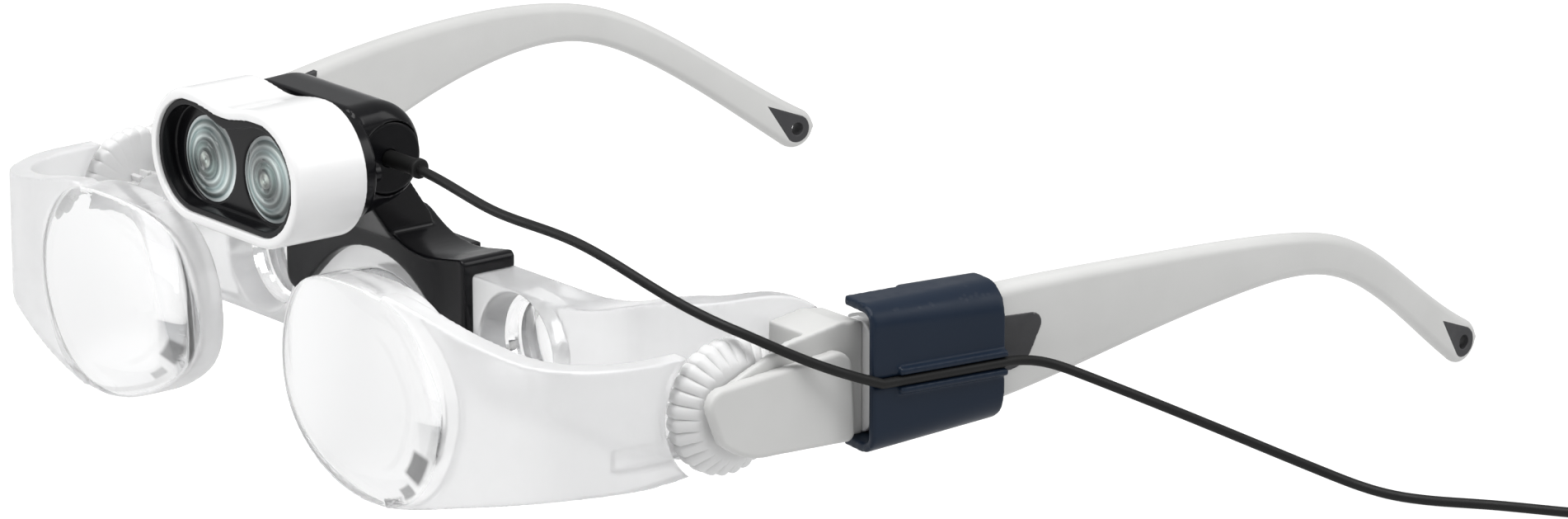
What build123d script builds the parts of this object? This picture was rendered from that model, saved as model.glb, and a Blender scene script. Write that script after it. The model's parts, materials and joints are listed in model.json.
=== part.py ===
from build123d import *
import math
import os

# Head-worn binocular magnifier with a clip-on lamp.  All sizes are in millimetres.
# Origin: apex of the nose saddle.  +X is the wearer's left, +Y runs back to the ears, +Z is up.
# Every left part is modelled at +X, and the right one is its mirror image.

os.makedirs("parts", exist_ok=True)

# ---------------------------------------------------------------- optics
EYE_X = 32.0  # half the distance between the two optical axes
AXIS_Z = -3.0  # height of the optical axes
LENS_APEX_Y = -34.0  # foremost point of the objective lenses
LENS_RADIUS = 56.0  # of the convex front face
LENS_BACK_Y = -25.5
EYEPIECE_RADIUS = 8.2
FUNNEL_RADIUS = 8.7  # of the opening in front of each eyepiece
EYEPIECE_FRONT_Y = 0.2
EYEPIECE_BACK_Y = 3.8
EYEPIECE_CURVE = 23.4  # radius of both hollow faces
EYEPIECE_DISH = 1.2  # depth of each hollow at its centre

# ---------------------------------------------------------------- rear frame
FRAME_FRONT_Y = -4.0
FRAME_BACK_Y = 4.0
FRAME_SIDE_X = 69.0  # outer face of the side walls
FRAME_WALL = 3.0
FRAME_END_Y = 22.0
SIDE_STRAIGHT_Y = 11.0  # the side walls are straight behind this line
BRIDGE_TOP_Z = 6.1
FRAME_BOTTOM_Z = -12.4
SIDE_TOP_Z = 10.8
SADDLE_THICKNESS = 1.8

# ---------------------------------------------------------------- focus drive
WHEEL_Y = 1.5
WHEEL_Z = -2.3
WHEEL_RADIUS = 9.8
WHEEL_FACE_RADIUS = 7.3  # of the flat outer face, inside the bevel
WHEEL_BEVEL_X = 74.2
WHEEL_INNER_X = 71.9
WHEEL_OUTER_X = 76.6
WHEEL_LOBES = 30
AXLE_RADIUS = 1.5
RUNNING_GAP = 0.05  # radial clearance of every pin that turns
TOOTH_MODULE = 0.5
PINION_TEETH = 12
PITCH_RADIUS = TOOTH_MODULE * PINION_TEETH / 2
PRESSURE_ANGLE = math.radians(20)
BACKLASH = 0.12
RACK_ADDENDUM = 0.34
RACK_INNER_X = 69.45
RACK_OUTER_X = 71.6
NOTCH_GAP = 1.4  # between the wheel's rim and the shell at rest

# ---------------------------------------------------------------- side housings and temples
CHEEK_INNER_X = 77.0
CHEEK_OUTER_X = 78.2
CAP_OUTER_X = 80.0
HOUSING_BACK_Y = 22.4
COLLAR_BACK_Y = 23.9
HINGE_X = 72.6
HINGE_Y = 26.4
HINGE_PIN_RADIUS = 1.1
KNUCKLE_RADIUS = 2.2
KNUCKLE_LOW = -5.6  # the housing's knuckle runs between these heights
KNUCKLE_HIGH = 2.0
TEMPLE_KNUCKLES = ((-8.4, -5.75), (2.15, 5.3))  # heights of the temple's two knuckles
PIN_HEAD_RADIUS = 1.7
PIN_HEAD = 0.7
SCREW_Y = 17.0
SCREW_Z = (-7.0, 3.5)
SCREW_RADIUS = 1.0
SCREW_HEAD_RADIUS = 1.9
TEMPLE_FRONT_Y = 24.2
EYELET_Y = 137.2
EYELET_Z = -16.6
EYELET_RADIUS = 1.1
STRIP_START_Y = 29.5
INLAY_PROUD = 0.15

# ---------------------------------------------------------------- lamp
LAMP_Z = 22.2
LAMP_FRONT_Y = -32.2
LAMP_BACK_Y = -19.9
LOBE_X = 8.6
LOBE_RADIUS = 10.0
WAIST_DIP = 1.0
SHELL_WALL = 1.6
LED_X = 7.45
LED_Z = 21.6
LENS_RIM_Y = -29.2
COLLIMATOR_RADIUS = 6.35
TILT_Y = -11.6
TILT_Z = 22.85
TILT_PIN_RADIUS = 1.2
LAMP_BODY_HALF_WIDTH = 13.0
LAMP_BODY_ROUNDING = 3.2
BOARD_FRONT_Y = LENS_RIM_Y + 7.6
STALK_HALF_WIDTH = 5.0
PIVOT_CAP_RADIUS = 5.4
LAMP_SCREW_X = 15.2
LAMP_SCREW_RADIUS = 0.8

# ---------------------------------------------------------------- lamp bracket
BRACKET_HALF_WIDTH = 22.2
BRACKET_FRONT_Y = -6.1
BRACKET_LEG_BACK_Y = -4.05
BRACKET_BACK_Y = 3.4
HOOK_TOP_Z = 7.1  # of the lip that hooks over the frame's rear edge

# ---------------------------------------------------------------- cable
CABLE_RADIUS = 0.72
BOOT_FLANGE_RADIUS = 2.2
BOOT_END_X = 20.0
CLIP_LENGTH = 22.0
CLIP_SPLAY = 7.6  # degrees between the left temple and +Y, seen from above
CLIP_PLACE = Pos(80.75, 19.9, 0) * Rot(0, 0, -CLIP_SPLAY)
CLIP_WALL = 1.4
CLIP_WIDTH = 11.4
CLIP_LIP_START = 9.5  # the inner lips stay clear of the hinge
CLIP_RIDGE_START = 4.0
GROOVE_X = 3.55  # the cable's seat in the clip's own frame
GROOVE_Z = -0.1
CLIP_ENTRY = (CLIP_PLACE * Pos(GROOVE_X, -0.6, GROOVE_Z)).position
CLIP_EXIT = (CLIP_PLACE * Pos(GROOVE_X, CLIP_LENGTH + 0.2, GROOVE_Z)).position
CLIP_DIRECTION = (CLIP_EXIT - CLIP_ENTRY).normalized()
TABLE_Z = -20.0  # the lenses and the temple tips rest here
PLUG_PLACE = Pos(158.2, 106.1, TABLE_Z + 3.2) * Rot(0, 0, 35)


def prism_x(face, low, high):
    """Extrudes a side-view face (drawn as Y, Z) from X = low to X = high."""
    return Pos(low, 0, 0) * extrude(Plane.YZ * face, amount=high - low)


def prism_y(face, low, high):
    """Extrudes a front-view face (drawn as X, Z) from Y = low to Y = high."""
    front = Plane(origin=(0, high, 0), x_dir=(1, 0, 0), z_dir=(0, -1, 0))
    return extrude(front * face, amount=high - low)


def prism_z(face, low, high):
    """Extrudes a plan face (drawn as X, Y) from Z = low to Z = high."""
    return Pos(0, 0, low) * extrude(face, amount=high - low)


def polygon(*points):
    return make_face(Polyline(*points, close=True).edges())


def between_curves(one, other):
    """The face between two open curves whose matching ends are joined by straight lines."""
    start = Line(one @ 0, other @ 0)
    end = Line(one @ 1, other @ 1)
    return make_face([*one.edges(), *start.edges(), *other.edges(), *end.edges()])


def rod_x(radius, y, z, low, high):
    """A round rod along X."""
    return prism_x(Pos(y, z) * Circle(radius), low, high)


def rod_y(radius, x, z, low, high):
    """A round rod along Y."""
    return prism_y(Pos(x, z) * Circle(radius), low, high)


def rod_z(radius, x, y, low, high):
    """A round rod along Z."""
    return prism_z(Pos(x, y) * Circle(radius), low, high)


def block(x, y, z):
    """A box given by its three (low, high) ranges."""
    size = [high - low for low, high in (x, y, z)]
    centre = [(low + high) / 2 for low, high in (x, y, z)]
    return Pos(*centre) * Box(*size)


def soften(part, radius, edges):
    """Rounds edges, with smaller radii tried in turn where the full one can't be built."""
    for share in (1, 0.6, 0.3):
        try:
            rounded = fillet(edges, radius * share)
        except Exception:
            continue
        if rounded.is_valid and rounded.volume > 0:
            return rounded
    return part


# ================================================================ rear frame
def band_curve(front_y, turn_x, knots, side_x):
    """A straight front, a smooth turn through the knots, and a straight side."""
    turn = Spline((turn_x, front_y), *knots, (side_x, SIDE_STRAIGHT_Y), tangents=[(1, 0), (0, 1)])
    return Line((0, front_y), (turn_x, front_y)) + turn + Line((side_x, SIDE_STRAIGHT_Y), (side_x, FRAME_END_Y))


def frame_plan():
    """Half of the wrap-round band seen from above, on the left."""
    outer = band_curve(FRAME_FRONT_Y, 46, [(59, -2.6), (66.4, 2)], FRAME_SIDE_X)
    inner = band_curve(FRAME_BACK_Y, 48, [(58, 4.6), (63.6, 6.6)], FRAME_SIDE_X - FRAME_WALL)
    return between_curves(outer, inner)


def frame_front_view():
    """Half of the frame's outline seen from the front, without the nose arch."""
    rise = Spline((38, BRIDGE_TOP_Z), (52, 7.8), (64, SIDE_TOP_Z), tangents=[(1, 0), (1, 0.1)])
    top = Line((0, BRIDGE_TOP_Z), (38, BRIDGE_TOP_Z)) + rise + Line((64, SIDE_TOP_Z), (80, SIDE_TOP_Z + 1))
    sweep_up = Spline((38, FRAME_BOTTOM_Z), (56, -12.6), (80, -11.4), tangents=[(1, 0), (1, 0)])
    bottom = Line((0, FRAME_BOTTOM_Z), (38, FRAME_BOTTOM_Z)) + sweep_up
    return between_curves(top, bottom)


def frame_side_view():
    """The frame's outline seen from the side: its walls fall towards their rear ends."""
    top = Spline((-10, 12), (8, 11), (18, 9.5), (FRAME_END_Y, 7.2))
    bottom = Line((-10, -20), (-2, -20)) + Spline((-2, -20), (4, -12.2), (FRAME_END_Y, -10.6))
    return make_face(
        [
            *top.edges(),
            *Line((-10, 12), (-10, -20)).edges(),
            *bottom.edges(),
            *Line((FRAME_END_Y, 7.2), (FRAME_END_Y, -10.6)).edges(),
        ]
    )


def nose_arch(clearance):
    """The nose opening seen from the front, grown by the saddle's thickness or by nothing."""
    half = [(0, 0), (8, -1.3), (14, -4.2), (16.8, -9), (17.6, -20)]
    right = [(x + clearance * x / 17.6, z + clearance * (1 - x / 17.6)) for x, z in half]
    left = [(-x, z) for x, z in reversed(right[1:])]
    arch = Spline(*left, *right)
    return make_face([*arch.edges(), *Line(right[-1], left[0]).edges()])


def rear_frame():
    half = prism_z(frame_plan(), -25, 25)
    half = half & prism_y(frame_front_view(), -10, 40)
    half = half & prism_x(frame_side_view(), -1, 90)
    funnel_length = 1 - FRAME_FRONT_Y
    funnel = Rot(90, 0, 0) * Cone(EYEPIECE_RADIUS, FUNNEL_RADIUS, funnel_length)
    pocket = Pos(EYE_X, -funnel_length / 2, AXIS_Z) * funnel
    bore = rod_y(EYEPIECE_RADIUS + 0.02, EYE_X, AXIS_Z, -1, 10)
    half = half - pocket - bore
    boss = rod_x(3.2, WHEEL_Y, WHEEL_Z, 62.5, RACK_INNER_X - 0.15)
    ledge = block((67.5, 71.5), (1, 12), (-10.4, -9.08))
    half = half + boss + ledge
    half = half - rod_x(AXLE_RADIUS, WHEEL_Y, WHEEL_Z, 63.5, 80)
    for z in SCREW_Z:
        half = half - rod_x(SCREW_RADIUS, SCREW_Y, z, 60, 80)
    whole = half + mirror(half, about=Plane.YZ)
    return whole - prism_y(nose_arch(SADDLE_THICKNESS), -20, 20)


def nose_saddle():
    """Soft liner of the nose arch, flush with the frame's bottom edge."""
    liner = prism_y(nose_arch(SADDLE_THICKNESS), FRAME_FRONT_Y + 0.3, FRAME_BACK_Y + 1.2)
    liner = liner - prism_y(nose_arch(0), -20, 20)
    return liner & block((-40, 40), (-20, 20), (FRAME_BOTTOM_Z + 0.4, 10))


def eyepiece():
    """Biconcave eyepiece lens with a flat rim."""
    disc = rod_y(EYEPIECE_RADIUS, EYE_X, AXIS_Z, EYEPIECE_FRONT_Y, EYEPIECE_BACK_Y)
    for face_y, side in ((EYEPIECE_FRONT_Y, -1), (EYEPIECE_BACK_Y, 1)):
        centre_y = face_y + side * (EYEPIECE_CURVE - EYEPIECE_DISH)
        disc = disc - Pos(EYE_X, centre_y, AXIS_Z) * Sphere(EYEPIECE_CURVE)
    return disc


# ================================================================ sliding lens shells
def lens_outline():
    """The objective lens seen from the front."""
    rim = Spline(
        (10.1, -4),
        (17, 9.2),
        (31, 11.8),
        (43.4, 9.4),
        (50.8, -1),
        (49.4, -10),
        (44, -17.3),
        (33, -19.6),
        (16.4, -14.2),
        periodic=True,
    )
    return make_face(rim.edges())


def wall_plan():
    """The side wall seen from above."""
    outer = [(38, -31.8), (51, -30.4), (60, -28.3), (67, -25.6), (72.2, -19.6), (74.4, -4.4)]
    inner = [(38, -28.6), (50.4, -27.3), (59, -25.2), (65.2, -22.6), (69.5, -17.6), (71.4, -4.4)]
    ends = [(1, 0.1), (0, 1)]
    return between_curves(Spline(*outer, tangents=ends), Spline(*inner, tangents=ends))


def wall_front_view():
    """The band that limits the side wall's height, seen from the front."""
    top = Spline((36, 12), (44, 11.1), (52, 9.3), (60, 7.6), (67, 6.7), (80, 6.7))
    bottom = Spline((36, -19.6), (44, -18.3), (52, -16.3), (60, -14.4), (67, -12.7), (80, -11.2))
    return between_curves(top, bottom)


def pinion_tooth_half_angle(radius):
    """Half the angle that one tooth fills at a radius, for involute flanks."""
    base = PITCH_RADIUS * math.cos(PRESSURE_ANGLE)
    at_pitch = math.pi / (2 * PINION_TEETH) - BACKLASH / (4 * PITCH_RADIUS)
    roll = math.acos(base / max(radius, base))
    rise = math.tan(PRESSURE_ANGLE) - PRESSURE_ANGLE
    return at_pitch + rise - (math.tan(roll) - roll)


def pinion_face():
    """The pinion's section, with a tooth pointing straight down into the rack."""
    root = PITCH_RADIUS - 1.05 * TOOTH_MODULE
    base = PITCH_RADIUS * math.cos(PRESSURE_ANGLE)
    tip = PITCH_RADIUS + 0.8 * TOOTH_MODULE
    radii = [root - 0.2, base, (base + tip) / 2, tip]
    flank = [(r, pinion_tooth_half_angle(r)) for r in radii]
    down = -math.pi / 2
    one_side = [(r * math.cos(down - a), r * math.sin(down - a)) for r, a in flank]
    other_side = [(r * math.cos(down + a), r * math.sin(down + a)) for r, a in reversed(flank)]
    tooth = polygon(*one_side, *other_side)
    face = Circle(root)
    for turn in PolarLocations(0, PINION_TEETH):
        face = face + turn * tooth
    return Pos(WHEEL_Y, WHEEL_Z) * face


def rack_face():
    """The rack bar seen from the side, with a gap between teeth under the wheel's centre."""
    pitch = math.pi * TOOTH_MODULE
    pitch_z = WHEEL_Z - PITCH_RADIUS
    root_z = pitch_z - 0.5
    tip_z = pitch_z + RACK_ADDENDUM
    half = pitch / 4 - BACKLASH / 4
    slope = math.tan(PRESSURE_ANGLE)
    bar = polygon((-16, -9), (10, -9), (10, root_z), (-16, root_z))
    for count in range(-2, 5):
        y = WHEEL_Y + (count + 0.5) * pitch
        low = half + 0.5 * slope
        high = half - RACK_ADDENDUM * slope
        bar = bar + polygon((y - low, root_z), (y + low, root_z), (y + high, tip_z), (y - high, tip_z))
    return bar


def lens_shell():
    """One clear moulding: objective lens, side wall and the rack that the focus wheel drives."""
    lens = prism_y(lens_outline(), LENS_APEX_Y - 2, LENS_BACK_Y)
    lens = lens & Pos(EYE_X, LENS_APEX_Y + LENS_RADIUS, AXIS_Z) * Sphere(LENS_RADIUS)
    wall = prism_z(wall_plan(), -25, 25) & prism_y(wall_front_view(), -40, 10)
    side_limit = polygon((-40, -25), (-26, -25), (-20, -12.2), (-4.4, -10.9), (-4.4, 14), (-40, 14))
    wall = wall & prism_x(side_limit, 0, 90)
    wall = wall - rod_x(WHEEL_RADIUS + NOTCH_GAP, WHEEL_Y, WHEEL_Z, 60, 90)
    rack = prism_x(rack_face(), RACK_INNER_X, RACK_OUTER_X)
    return lens + wall + rack


# ================================================================ focus wheels
def focus_wheel():
    """Scalloped wheel with its pinion on the inner face."""
    profile = polygon(
        (WHEEL_INNER_X, 0),
        (WHEEL_INNER_X, WHEEL_RADIUS - 0.5),
        (WHEEL_INNER_X + 0.5, WHEEL_RADIUS),
        (WHEEL_BEVEL_X, WHEEL_RADIUS),
        (WHEEL_OUTER_X, WHEEL_FACE_RADIUS),
        (WHEEL_OUTER_X, 0),
    )
    disc = Pos(0, WHEEL_Y, WHEEL_Z) * revolve(profile, axis=Axis.X)
    for turn in PolarLocations(WHEEL_RADIUS + 0.35, WHEEL_LOBES):
        centre = turn.position
        disc = disc - rod_x(0.62, WHEEL_Y + centre.X, WHEEL_Z + centre.Y, WHEEL_INNER_X - 1, WHEEL_OUTER_X + 1)
    pinion = prism_x(pinion_face(), RACK_INNER_X + 0.05, WHEEL_INNER_X)
    hole = rod_x(AXLE_RADIUS + RUNNING_GAP, WHEEL_Y, WHEEL_Z, 60, 90)
    return disc + pinion - hole


def wheel_axle():
    return rod_x(AXLE_RADIUS, WHEEL_Y, WHEEL_Z, 63.6, CHEEK_OUTER_X)


# ================================================================ side housings
def hinge_knuckle(low, high):
    return rod_z(KNUCKLE_RADIUS, HINGE_X, HINGE_Y, low, high)


def wheel_housing():
    """Block behind the wheel, with an outer cheek that carries the axle's outer end."""
    cheek = polygon(
        (-2.3, 2),
        (1.2, 3.5),
        (9.2, 6.6),
        (18.5, 7.9),
        (HOUSING_BACK_Y, 7.3),
        (HOUSING_BACK_Y, -9.1),
        (8, -8.7),
        (-0.2, -7.4),
        (-2.6, -5),
    )
    body = prism_x(cheek, CHEEK_INNER_X, CHEEK_OUTER_X)
    rear = polygon((12.6, 7.1), (18.5, 7.9), (HOUSING_BACK_Y, 7.3), (HOUSING_BACK_Y, -9.1), (12.6, -8.9))
    body = body + prism_x(rear, FRAME_SIDE_X + 0.05, CHEEK_OUTER_X)
    body = body - rod_x(AXLE_RADIUS, WHEEL_Y, WHEEL_Z, 60, 90)
    for z in SCREW_Z:
        body = body - rod_x(SCREW_RADIUS, SCREW_Y, z, 60, 75.5)
    clearance = rod_z(KNUCKLE_RADIUS + 0.35, HINGE_X, HINGE_Y, -30, 30)
    body = body - clearance
    lug = hinge_knuckle(KNUCKLE_LOW, KNUCKLE_HIGH)
    web = block(
        (HINGE_X - KNUCKLE_RADIUS, HINGE_X + KNUCKLE_RADIUS),
        (HOUSING_BACK_Y - 1.5, HINGE_Y),
        (KNUCKLE_LOW, KNUCKLE_HIGH),
    )
    body = body + lug + web
    return body - rod_z(HINGE_PIN_RADIUS, HINGE_X, HINGE_Y, -30, 30)


def housing_cap():
    """Outer cover plate: a rounded wedge that hides the middle of the wheel."""
    outline = [
        *Line((-3.7, 2.7), (15.7, 4.2)).edges(),
        *ThreePointArc((15.7, 4.2), (18.2, 3.5), (19.2, 1.6)).edges(),
        *Line((19.2, 1.6), (19.7, -7.8)).edges(),
        *ThreePointArc((19.7, -7.8), (19.3, -8.9), (18.4, -9.3)).edges(),
        *Line((18.4, -9.3), (5.1, -8.7)).edges(),
        *Spline((5.1, -8.7), (-1.2, -7.4), (-4.2, -5.3)).edges(),
        *Line((-4.2, -5.3), (-6, -0.9)).edges(),
        *ThreePointArc((-6, -0.9), (-5.7, 1.7), (-3.7, 2.7)).edges(),
    ]
    plate = prism_x(make_face(outline), CHEEK_OUTER_X, CAP_OUTER_X)
    return soften(plate, 0.6, plate.faces().sort_by(Axis.X)[-1].edges())


def hinge_collar():
    """Thin end frame between the housing and the temple, open round the hinge."""
    face = Pos(76.6, -0.9) * RectangleRounded(6.2, 16.4, 2.4)
    collar = prism_y(face, HOUSING_BACK_Y, COLLAR_BACK_Y)
    return collar - block((60, HINGE_X + KNUCKLE_RADIUS + 0.05), (HOUSING_BACK_Y - 1, HINGE_Y), (-30, 30))


def housing_screws():
    """Two countersunk screws on each side, driven from inside the frame."""
    screws = []
    inner_face = FRAME_SIDE_X - FRAME_WALL
    for z in SCREW_Z:
        shank = rod_x(SCREW_RADIUS - 0.05, SCREW_Y, z, inner_face - 0.6, 74.8)
        head = rod_x(SCREW_HEAD_RADIUS, SCREW_Y, z, inner_face - 1.2, inner_face - 0.02)
        slot = block((inner_face - 1.3, inner_face - 0.8), (SCREW_Y - 2, SCREW_Y + 2), (z - 0.2, z + 0.2))
        screws.append(head + shank - slot)
    screws += [mirror(screw, about=Plane.YZ) for screw in screws]
    return Compound(children=[screw.solids()[0] for screw in screws])


def hinge_pin():
    """Pin with a riveted head above and below the temple's knuckles."""
    low = TEMPLE_KNUCKLES[0][0] - 0.1
    high = TEMPLE_KNUCKLES[1][1] + 0.1
    pin = rod_z(HINGE_PIN_RADIUS, HINGE_X, HINGE_Y, low - PIN_HEAD / 2, high + PIN_HEAD / 2)
    for start in (low - PIN_HEAD, high):
        pin = pin + rod_z(PIN_HEAD_RADIUS, HINGE_X, HINGE_Y, start, start + PIN_HEAD)
    return pin


# ================================================================ temples
def temple_face_curve(offset):
    """The temple's outer face seen from above, moved inwards by a share of its thickness."""
    outer = [(81.2, 24), (84.4, 45), (88.6, 68), (90.4, 90), (89.2, 106), (84.6, 123), (80.6, 142)]
    inner = [(75.4, 24), (79.8, 45), (84.9, 68), (87.2, 90), (86.2, 105), (81.8, 122), (77.8, 142)]
    points = [(a[0] + offset * (b[0] - a[0]), a[1] + offset * (b[1] - a[1])) for a, b in zip(outer, inner)]
    return Spline(*points)


def temple_side_view():
    """The temple's outline seen from the side: straight, then bent down behind the ear."""
    tip_top = (EYELET_Y + 2.1, EYELET_Z + 2.7)
    tip_end = (EYELET_Y + 2.4, EYELET_Z - 2.4)
    tip_bottom = (EYELET_Y - 2.3, EYELET_Z - 2.5)
    top = Spline((24, 7.2), (43, 9.6), (70, 10.8), (90, 10.2), (103, 7.8), (118, 0), tip_top)
    bottom = Spline((24, -8.4), (43, -7), (66, -1), (83, 2.4), (99, 2.6), (113, -3.4), tip_bottom)
    tip = ThreePointArc(tip_top, tip_end, tip_bottom)
    front = Line((24, 7.2), (24, -8.4))
    return make_face([*top.edges(), *tip.edges(), *bottom.edges(), *front.edges()])


def skin(depth, proud):
    """A layer that follows the temple's outer face, for the inlay and its pocket."""
    inner = temple_face_curve(depth)
    outer = Spline(*[(p.X + proud, p.Y) for p in (temple_face_curve(0) @ (i / 8) for i in range(9))])
    return prism_z(between_curves(outer, inner), -40, 40)


def inlay_side_view():
    """The soft inlay on the outer face: a tongue with a rounded, slanted rear end."""
    return make_face(
        [
            *Line((26, -2.8), (43.5, -2.6)).edges(),
            *ThreePointArc((43.5, -2.6), (46.2, -1.9), (47.6, -0.4)).edges(),
            *Line((47.6, -0.4), (49.1, 3)).edges(),
            *ThreePointArc((49.1, 3), (49.2, 4.6), (47.8, 5.5)).edges(),
            *Line((47.8, 5.5), (26, 6)).edges(),
            *Line((26, 6), (26, -2.8)).edges(),
        ]
    )


def inner_strip_side_view():
    """The soft strip along the top of the inner face."""
    return make_face(
        [
            *Line((STRIP_START_Y, 5.4), (37, 7.2)).edges(),
            *ThreePointArc((37, 7.2), (39.2, 8), (39.6, 9.4)).edges(),
            *Line((39.6, 9.4), (39.4, 16)).edges(),
            *Line((39.4, 16), (STRIP_START_Y, 16)).edges(),
            *Line((STRIP_START_Y, 16), (STRIP_START_Y, 5.4)).edges(),
        ]
    )


def inner_skin():
    """A layer along the temple's inner face, for the strip."""
    outer = temple_face_curve(0.8)
    inner = temple_face_curve(1.03)
    return prism_z(between_curves(outer, inner), -40, 40)


def tip_insert_face(grow=0.0):
    """Teardrop round the eyelet, seen from the side."""
    radius = 2.3 + grow
    point = (EYELET_Y - 5.6 - grow, EYELET_Z + 4.6 + grow)
    side_a = (EYELET_Y + radius * math.cos(1.1), EYELET_Z + radius * math.sin(1.1))
    side_b = (EYELET_Y + radius * math.cos(3.9), EYELET_Z + radius * math.sin(3.9))
    far = (EYELET_Y + radius * math.cos(-0.6), EYELET_Z + radius * math.sin(-0.6))
    return make_face(
        [*Line(point, side_a).edges(), *ThreePointArc(side_a, far, side_b).edges(), *Line(side_b, point).edges()]
    )


def temple_band():
    return prism_z(between_curves(temple_face_curve(0), temple_face_curve(1)), -40, 40)


def temple_blank():
    """The temple before its pockets are cut."""
    return temple_band() & prism_x(temple_side_view(), 60, 100)


def temple():
    body = temple_blank()
    body = body - (skin(0.25, 3) & prism_x(inlay_side_view(), 60, 100))
    strip_pocket = prism_z(between_curves(temple_face_curve(0.8), temple_face_curve(1.6)), -40, 40)
    body = body - (strip_pocket & prism_x(inner_strip_side_view(), 60, 100))
    body = body - prism_x(tip_insert_face(), 60, 100)
    body = body & block((60, 100), (TEMPLE_FRONT_Y, 200), (-40, 40))
    clearance = rod_z(KNUCKLE_RADIUS + 0.3, HINGE_X, HINGE_Y, KNUCKLE_LOW - 0.1, KNUCKLE_HIGH + 0.1)
    for low, high in TEMPLE_KNUCKLES:
        web = block((HINGE_X, HINGE_X + 6), (HINGE_Y - 0.6, HINGE_Y + KNUCKLE_RADIUS), (low, high))
        body = body + hinge_knuckle(low, high) + web
    body = body - clearance
    return body - rod_z(HINGE_PIN_RADIUS + RUNNING_GAP, HINGE_X, HINGE_Y, -30, 30)


def temple_inlay():
    """Soft-touch tongue on the outer face."""
    return skin(0.25, INLAY_PROUD) & prism_x(inlay_side_view(), 60, 100)


def temple_strip():
    """Soft-touch strip on the inner face."""
    return inner_skin() & prism_x(inner_strip_side_view(), 60, 100) & prism_x(temple_side_view(), 60, 100)


def tip_insert():
    """Dark eyelet insert through the temple's tip."""
    insert = prism_x(tip_insert_face(), 60, 100) & temple_band()
    return insert - rod_x(EYELET_RADIUS, EYELET_Y, EYELET_Z, 60, 100)


# ================================================================ lamp
def lobe_outline(inset, dip=WAIST_DIP):
    """Two round lobes on a straight base with a shallow waist on top."""
    radius = LOBE_RADIUS - inset
    top_z = LAMP_Z + radius
    bottom_z = LAMP_Z - radius
    waist = Spline(
        (LOBE_X, top_z), (0, LAMP_Z + LOBE_RADIUS - dip - inset), (-LOBE_X, top_z), tangents=[(-1, 0), (-1, 0)]
    )
    return make_face(
        [
            *Line((-LOBE_X, bottom_z), (LOBE_X, bottom_z)).edges(),
            *ThreePointArc((LOBE_X, bottom_z), (LOBE_X + radius, LAMP_Z), (LOBE_X, top_z)).edges(),
            *waist.edges(),
            *ThreePointArc((-LOBE_X, top_z), (-LOBE_X - radius, LAMP_Z), (-LOBE_X, bottom_z)).edges(),
        ]
    )


def lamp_shell():
    """Glossy white sleeve round the lamp."""
    outer = prism_y(lobe_outline(0), LAMP_FRONT_Y, LAMP_BACK_Y)
    outer = soften(outer, 0.7, outer.faces().sort_by(Axis.Y)[0].edges())
    return outer - prism_y(lobe_outline(SHELL_WALL), LAMP_FRONT_Y - 1, LAMP_BACK_Y + 1)


def lamp_bezel():
    """Black cup inside the sleeve, with one seat for each collimator."""
    inset = SHELL_WALL + 0.05
    cup = prism_y(lobe_outline(inset), LAMP_FRONT_Y + 0.5, LENS_RIM_Y + 1.4)
    cup = cup - prism_y(lobe_outline(inset + 0.9, WAIST_DIP + 0.7), LAMP_FRONT_Y, LENS_RIM_Y)
    for side in (-1, 1):
        cup = cup - rod_y(COLLIMATOR_RADIUS + 0.05, side * LED_X, LED_Z, LAMP_FRONT_Y, LAMP_BACK_Y)
    return cup


def collimator_lenses():
    """Two domed collimators that narrow towards their light source."""
    rim_y = LENS_RIM_Y
    profile = make_face(
        [
            *ThreePointArc((0, rim_y - 0.9), (3.4, rim_y - 0.6), (COLLIMATOR_RADIUS, rim_y + 0.2)).edges(),
            *Line((COLLIMATOR_RADIUS, rim_y + 0.2), (COLLIMATOR_RADIUS, rim_y + 1.2)).edges(),
            *ThreePointArc((COLLIMATOR_RADIUS, rim_y + 1.2), (4.9, rim_y + 4.2), (2.4, rim_y + 6.6)).edges(),
            *Line((2.4, rim_y + 6.6), (0, rim_y + 6.6)).edges(),
            *Line((0, rim_y + 6.6), (0, rim_y - 0.9)).edges(),
        ]
    )
    lens = revolve(profile, axis=Axis.Y)
    return Compound(children=[(Pos(side * LED_X, 0, LED_Z) * lens).solids()[0] for side in (-1, 1)])


def led_chips():
    chips = []
    for side in (-1, 1):
        x = side * LED_X
        base = block((x - 1.7, x + 1.7), (BOARD_FRONT_Y - 0.5, BOARD_FRONT_Y), (LED_Z - 1.7, LED_Z + 1.7))
        dome = rod_y(1.2, x, LED_Z, BOARD_FRONT_Y - 0.9, BOARD_FRONT_Y - 0.5)
        chips.append((base + dome).solids()[0])
    return Compound(children=chips)


def led_board():
    """Circuit board that closes the sleeve behind the light sources."""
    board = prism_y(lobe_outline(SHELL_WALL + 0.1), BOARD_FRONT_Y, BOARD_FRONT_Y + 1.2)
    for side in (-1, 1):
        board = board - rod_y(LAMP_SCREW_RADIUS, side * LAMP_SCREW_X, LAMP_Z, -40, 0)
    return board - rod_y(1.0, 0, LAMP_Z - 4, -40, 0)


def lamp_body_side_view():
    """The lamp's rear body from the side, rounded about the tilt axis."""
    return make_face(
        [
            *Line((-17.6, 13.8), (TILT_Y, 15.6)).edges(),
            *ThreePointArc((TILT_Y, 15.6), (-6.5, 18.7), (-5.3, 24)).edges(),
            *ThreePointArc((-5.3, 24), (-7.9, 29.2), (-13.4, 31.2)).edges(),
            *Line((-13.4, 31.2), (-17.6, 31)).edges(),
            *Line((-17.6, 31), (-17.6, 13.8)).edges(),
        ]
    )


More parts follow.
